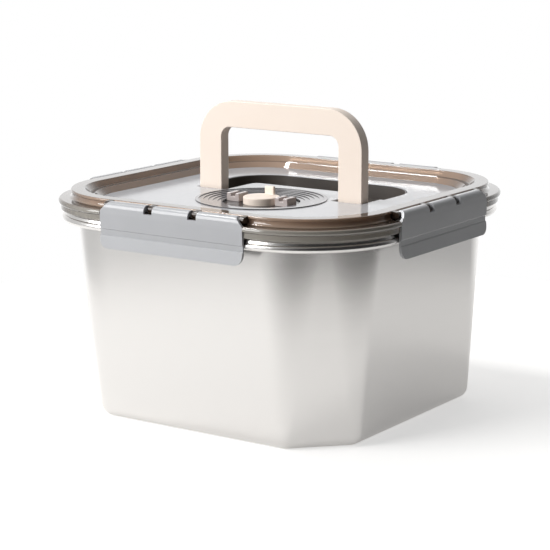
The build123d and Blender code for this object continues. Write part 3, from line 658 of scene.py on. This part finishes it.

# Deck and handle tray
# The deck is a pressed-in panel of glossy pale grey ABS, open over the handle's trough and the
# valve dish. The trough under it is matt dark moulded plastic, and its dark colour is partly painted shade of
# a deep recess.
gloss_abs = moulded("gloss_pale_grey_abs", "#b6b7bb", "#b2b3b7", roughness=0.14, grain_mm=6.0, depth_mm=0.01)
gloss_abs.node_tree.nodes["Principled BSDF"].inputs["IOR"].default_value = 1.42
dark_pp_and_shade = moulded("dark_grey_polypropylene_and_shade", "#504a45", "#49433f", roughness=0.5, grain_mm=0.8, depth_mm=0.04)


def refinish(node, skin):
    """Give a CAD node that keeps its shape its finish."""
    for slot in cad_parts[node].material_slots:
        slot.material = skin


refinish("deck_panel", gloss_abs)
# The trough's dark colour is partly painted shade, standing for the depth of the recess.
refinish("handle_tray", dark_pp_and_shade)

# Valve dish
# A turned-looking round tray of grey plastic, pressed into the deck: a thin lip, five shallow
# steps, and a flat well for the valve.
VALVE_Y = -24.78
STEM_BORE = 3.05
BOSS_RADIUS = 27.6
BOSS_LOW = 137.4
DISH_RADIUS = 41.8
LIP_RADIUS = 44.2
DECK_TOP = 142.8
DISH_TOP = 143.4
DISH_STEPS = 5
DISH_TREAD = 3.16
DISH_DROP = 0.45
WELL_RADIUS = 26.0
WELL_FLOOR = 139.0
DISH_FACETS = 96
DISH_EASE = 0.12


def turned(name, profile):
    """Spin a closed profile of (radius, height) in mm about the valve's axis."""
    outline = [(radius, VALVE_Y, height) for radius, height in profile]
    piece = begin(name, outline[0])
    draw(outline + outline[:1])
    bpy.ops.mesh.select_all(action="SELECT")
    bpy.ops.mesh.remove_doubles(threshold=WELD * MM)
    bpy.ops.mesh.spin(steps=DISH_FACETS, angle=2 * pi, center=(0, VALVE_Y * MM, 0), axis=(0, 0, 1))
    bpy.ops.mesh.select_all(action="SELECT")
    bpy.ops.mesh.remove_doubles(threshold=WELD * MM)
    bpy.ops.mesh.normals_make_consistent(inside=False)
    return piece


profile = [(STEM_BORE, BOSS_LOW), (BOSS_RADIUS, BOSS_LOW), (BOSS_RADIUS, WELL_FLOOR),
           (DISH_RADIUS, WELL_FLOOR), (DISH_RADIUS, DECK_TOP), (LIP_RADIUS, DECK_TOP), (LIP_RADIUS, DISH_TOP)]
for step in range(DISH_STEPS):
    radius = DISH_RADIUS - step * DISH_TREAD
    profile += [(radius, DISH_TOP - step * DISH_DROP), (radius, DISH_TOP - (step + 1) * DISH_DROP)]
well_top = DISH_TOP - DISH_STEPS * DISH_DROP
profile += [(WELL_RADIUS, well_top), (WELL_RADIUS, WELL_FLOOR), (STEM_BORE, WELL_FLOOR)]
dish = turned("dish_round", profile)
finish(dish, DISH_EASE)
dish_abs = moulded("gloss_mauve_grey_abs", "#8d8b8e", "#89878a", roughness=0.14, grain_mm=3.0,
                   depth_mm=0.01)

# The steps' risers and the well's wall are darkened with painted shade: faces that stand upright take a dark
# colour.
RISER_PAINTED_SHADE = "#2f2d2e"
RISER_SLANT = (0.2, 0.8)

tree = dish_abs.node_tree
shader = tree.nodes["Principled BSDF"]
upward = add_node(tree, "ShaderNodeNewGeometry").outputs["Normal"]
upward = add_node(tree, "ShaderNodeSeparateXYZ", {"Vector": upward}).outputs["Z"]
flat = add_node(tree, "ShaderNodeMapRange", {"Value": upward, "From Min": RISER_SLANT[0],
                "From Max": RISER_SLANT[1]})
tread = shader.inputs["Base Color"].links[0].from_socket
# Painted shade: upright faces get the dark colour, and faces that look up keep the moulding's tones.
tone = add_node(tree, "ShaderNodeMix", {"Factor": flat.outputs["Result"], "A": linear(RISER_PAINTED_SHADE),
                "B": tread}, data_type="RGBA")
tree.links.new(tone.outputs["Result"], shader.inputs["Base Color"])
dress(dish, "lid", "dish_grey", dish_abs, "valve_dish")

# Valve cap
# A round ivory cap in the middle of the well, with an upright tab at the back for a finger to lift.
CAP_RADIUS = 12.2
CAP_Z = (139.3, 144.6)
CAP_EASE = 0.7
TAB_HALF = 3.7
TAB_OUT = 11.4
TAB_THICK = 2.4
TAB_TOP = 150.1
TAB_SINK = 1.5
TAB_EASE = 0.8

cap = turned("cap_round", [(0.0, CAP_Z[0]), (CAP_RADIUS, CAP_Z[0]), (CAP_RADIUS, CAP_Z[1]), (0.0, CAP_Z[1])])
finish(cap, CAP_EASE, segments=4)
bpy.ops.object.select_all(action="DESELECT")
tab_low = CAP_Z[1] - TAB_SINK
tab_place = Vector((0, VALVE_Y + TAB_OUT - TAB_THICK / 2, (TAB_TOP + tab_low) / 2))
tab_size = Vector((2 * TAB_HALF, TAB_THICK, TAB_TOP - tab_low))
bpy.ops.mesh.primitive_cube_add(size=1, location=tab_place * MM, scale=tab_size * MM)
tab = bpy.context.object
bpy.ops.object.transform_apply(location=True, rotation=True, scale=True)
bpy.ops.object.mode_set(mode="EDIT")
finish(tab, TAB_EASE, segments=4)
cap = join("cap_round", [cap, tab])
dress(cap, "valve", "cream", ivory_pp, "valve_cap")

# Valve cradle
# A flat dark ring in the well round the cap, and a slotted lug on each side of the cap.
CRADLE_RADII = (13.2, 25.7)
CRADLE_TOP = 140.0
CRADLE_EASE = 0.25
CRADLE_LUG_X = (14.4, 24.5)
CRADLE_LUG_HALF = 5.5
CRADLE_LUG_TOP = 145.6
CRADLE_SLOT = (17.6, 21.0)
CRADLE_SLOT_FLOOR = 143.4
CRADLE_SLOT_REACH = (8.0, 147.0)
CRADLE_LUG_SINK = 0.1
CRADLE_LUG_EASE = 0.5

cradle = turned("cradle_ring", [(CRADLE_RADII[0], WELL_FLOOR), (CRADLE_RADII[1], WELL_FLOOR),
                                (CRADLE_RADII[1], CRADLE_TOP), (CRADLE_RADII[0], CRADLE_TOP)])
finish(cradle, CRADLE_EASE)
cradle_dark = moulded("dark_gloss_abs", "#2c2a2a", "#272525", roughness=0.2, grain_mm=2.0, depth_mm=0.01)
dress(cradle, "lid", "dish_grey", cradle_dark, "valve_cradle")

cradle_abs = moulded("mauve_grey_abs", "#c4b9b6", "#bdb2af", roughness=0.2, grain_mm=2.0, depth_mm=0.01)
lug_low = CRADLE_TOP - CRADLE_LUG_SINK
lug_front, lug_back = -VALVE_Y - CRADLE_LUG_HALF, -VALVE_Y + CRADLE_LUG_HALF
outline = [(lug_front, lug_low), (lug_back, lug_low), (lug_back, CRADLE_LUG_TOP), (lug_front, CRADLE_LUG_TOP)]
slot_half, slot_top = CRADLE_SLOT_REACH
for name, way in (("cradle_lug_left", -1), ("cradle_lug_right", 1)):
    low, high = sorted((way * CRADLE_LUG_X[0], way * CRADLE_LUG_X[1]))
    block = prism(name, outline, low, high - low)
    bpy.ops.object.mode_set(mode="OBJECT")
    near, far = sorted((way * CRADLE_SLOT[0], way * CRADLE_SLOT[1]))
    carve(block, (near, VALVE_Y - slot_half, CRADLE_SLOT_FLOOR), (far, VALVE_Y + slot_half, slot_top))
    finish(block, CRADLE_LUG_EASE, segments=3)
    dress(block, "lid", "dish_grey", cradle_abs)

# Fittings
# Turned steel pins and screws, a white silicone gasket and seal, and the valve's stem and clip.
pin_steel = moulded("turned_steel", "#c8c7c5", "#bdbcba", roughness=0.28, grain_mm=0.4, depth_mm=0.01)
shader = pin_steel.node_tree.nodes["Principled BSDF"]
shader.inputs["Metallic"].default_value = 1.0
shader.inputs["IOR"].default_value = 1.5
silicone = moulded("white_silicone", "#e9e6e1", "#e2dfda", roughness=0.55, grain_mm=0.6, depth_mm=0.02)
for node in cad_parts:
    if node.startswith("latch_pin") or node.startswith("handle_pin") or node == "tray_screws":
        refinish(node, pin_steel)
refinish("lid_gasket", silicone)
refinish("valve_seal", silicone)
refinish("valve_stem", ivory_pp)
refinish("valve_retainer", dark_pp_and_shade)
